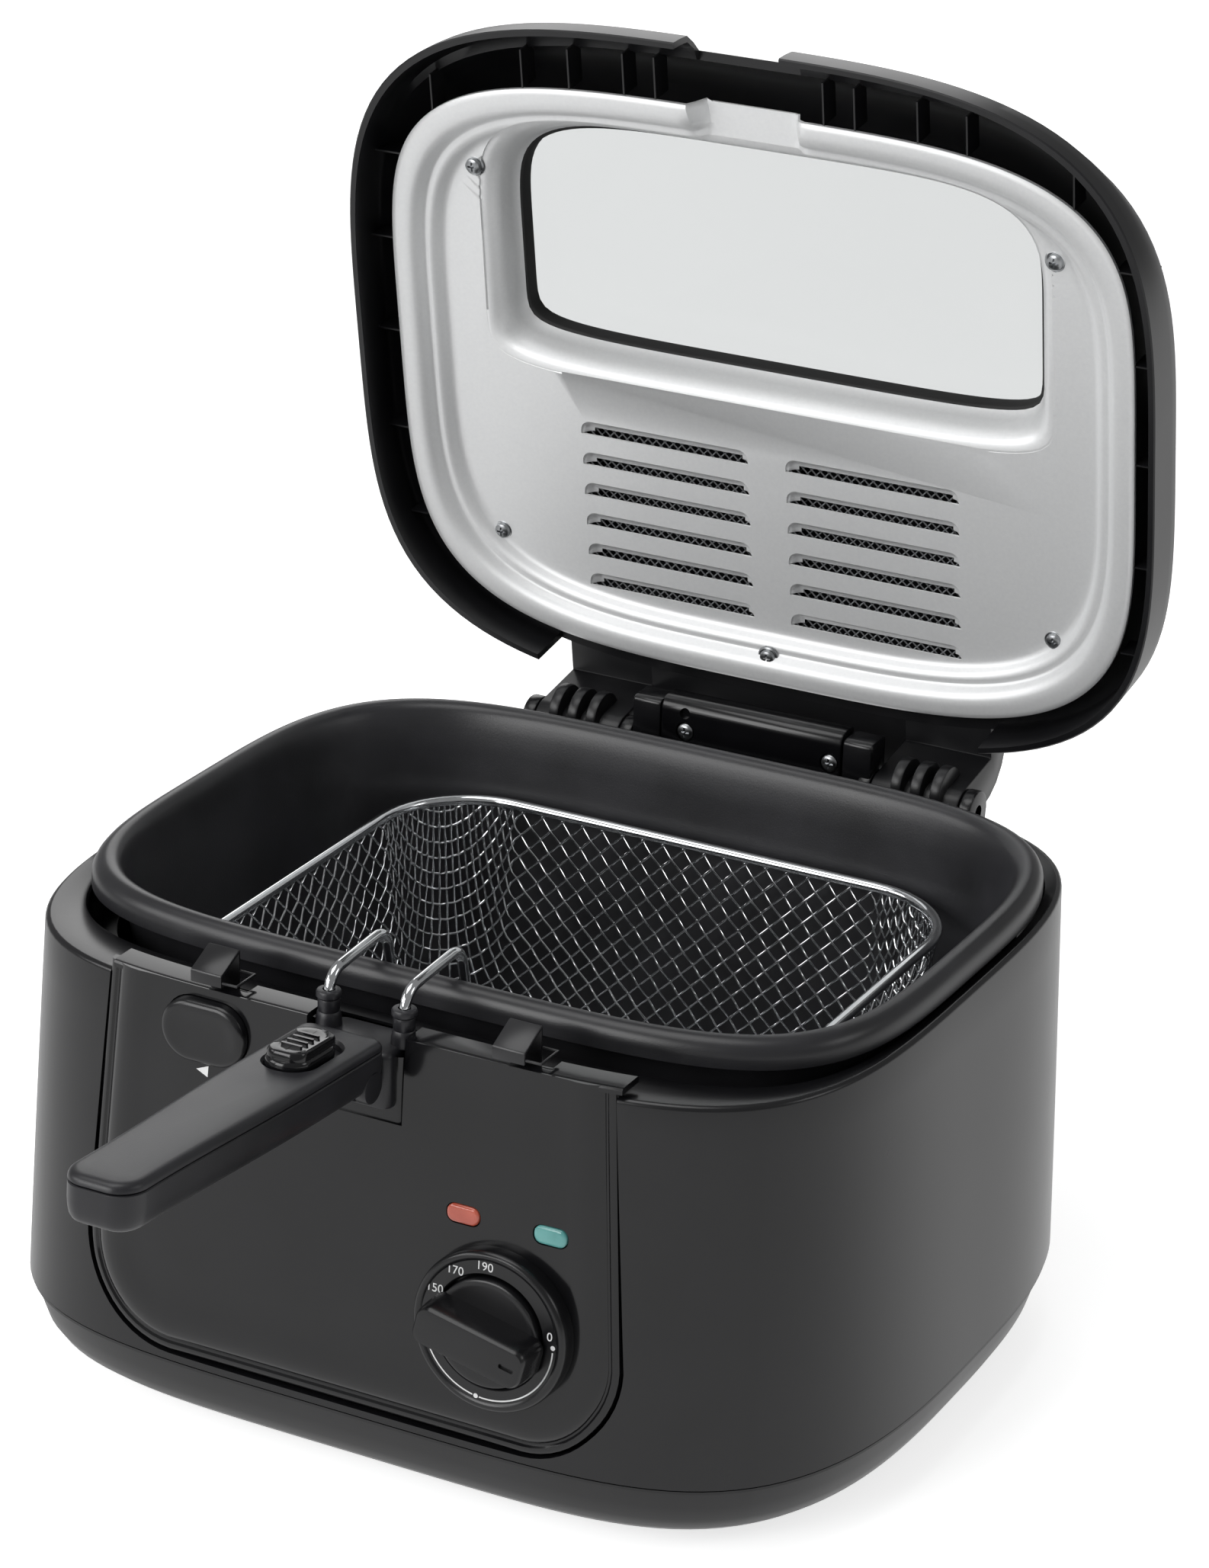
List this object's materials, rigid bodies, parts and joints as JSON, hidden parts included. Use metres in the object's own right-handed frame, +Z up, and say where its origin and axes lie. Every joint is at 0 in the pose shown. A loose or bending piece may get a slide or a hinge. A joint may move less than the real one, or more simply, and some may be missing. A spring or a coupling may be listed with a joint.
{
  "type": "deep_fryer",
  "caption": "Black household deep fryer with an open windowed lid, an oil pot, a wire basket on a folding handle, a temperature dial and two indicator lamps",
  "frame": {"origin": "On the table, at the centre of the resting plane under the oil pot", "axes": "+Z up, front towards -Y, +X to the right seen from the front"},
  "size_m": [0.281, 0.4044, 0.3751],
  "materials": {
    "body_plastic": "moulded, glossy",
    "base_plastic": "moulded, satin",
    "foot_rubber": "matt",
    "screw_steel": "zinc plated",
    "panel_plastic": "high gloss",
    "button_plastic": "satin gloss",
    "latch_steel": "rolled sheet",
    "spring_steel": "drawn wire",
    "dial_plastic": "satin gloss with white print",
    "knob_plastic": "satin gloss",
    "shaft_steel": "turned",
    "thermostat_ceramic": "fired, matt",
    "nut_steel": "zinc plated",
    "red_lens": "translucent, faceted",
    "green_lens": "translucent, faceted",
    "neon_glass": "clear",
    "inlet_rubber": "matt",
    "terminal_plastic": "moulded",
    "pot_coating": "non-stick coating, satin",
    "heater_aluminium": "cast",
    "cutout_steel": "pressed",
    "hinge_plastic": "moulded, glossy",
    "pin_steel": "ground",
    "lid_plastic": "moulded, glossy",
    "plate_aluminium": "pressed sheet, satin",
    "gasket_rubber": "matt",
    "window_glass": "clear",
    "filter_steel": "woven mesh",
    "mesh_steel": "woven wire, plated",
    "wire_chrome": "bright plated",
    "collar_plastic": "moulded",
    "bracket_plastic": "moulded",
    "handle_plastic": "fine satin texture",
    "slider_plastic": "ribbed"
  },
  "bodies": {
    "base": {"housing": "body_plastic", "base_tray": "base_plastic", "rubber_feet": "foot_rubber", "base_screws": "screw_steel", "front_panel": "panel_plastic", "latch_spring": "spring_steel", "dial_ring": "dial_plastic", "thermostat": "thermostat_ceramic", "thermostat_nut": "nut_steel", "power_lens": "red_lens", "ready_lens": "green_lens", "neon_lamps": "neon_glass", "cord_inlet": "inlet_rubber", "terminal_block": "terminal_plastic", "oil_pot": "pot_coating", "heating_element": "heater_aluminium", "thermal_cutout": "cutout_steel", "hinge_cover": "hinge_plastic", "hinge_cover_screws": "screw_steel", "hinge_pins": "pin_steel"},
    "lid": {"lid_shell": "lid_plastic", "lid_plate": "plate_aluminium", "lid_screws": "screw_steel", "window_gasket": "gasket_rubber", "window_glass": "window_glass", "filter_mesh": "filter_steel"},
    "basket": {"basket_mesh": "mesh_steel", "basket_rim_wire": "wire_chrome", "basket_fork": "wire_chrome", "fork_collars": "collar_plastic", "handle_bracket": "bracket_plastic"},
    "handle": {"handle_bottom": "handle_plastic", "handle_top": "handle_plastic", "handle_pivot": "pin_steel", "handle_screws": "screw_steel"},
    "slider": {"handle_slider": "slider_plastic"},
    "button": {"release_button": "button_plastic"},
    "latch": {"latch_bar": "latch_steel"},
    "knob": {"temperature_knob": "knob_plastic", "thermostat_shaft": "shaft_steel"}
  },
  "joints": [
    {"name": "lid_hinge", "type": "hinge", "parent": "base", "child": "lid", "pos_m": [0, 0.1181, 0.1338], "axis": [-1, 0, 0], "range_deg": [-80, 0]},
    {"name": "basket_lift", "type": "slide", "parent": "base", "child": "basket", "axis": [0, 0, 1], "range_m": [0, 0.11]},
    {"name": "handle_fold", "type": "hinge", "parent": "basket", "child": "handle", "pos_m": [0, -0.138, 0.131], "axis": [1, 0, 0], "range_deg": [0, 86]},
    {"name": "slider_slide", "type": "slide", "parent": "handle", "child": "slider", "axis": [0, 0.9976, -0.0698], "range_m": [0, 0.0028], "stiffness_N_per_m": 150},
    {"name": "button_press", "type": "slide", "parent": "base", "child": "button", "axis": [0, 1, 0], "range_m": [0, 0.0035], "stiffness_N_per_m": 300},
    {"name": "latch_slide", "type": "slide", "parent": "base", "child": "latch", "axis": [1, 0, 0], "range_m": [0, 0.0044]},
    {"name": "knob_turn", "type": "hinge", "parent": "base", "child": "knob", "pos_m": [0.0475, -0.1294, 0.064], "axis": [0, 0.9982, -0.0598], "range_deg": [0, 275]}
  ],
  "couplings": [
    {"joint": "latch_slide", "follows": "button_press", "ratio": 1.2571}
  ]
}
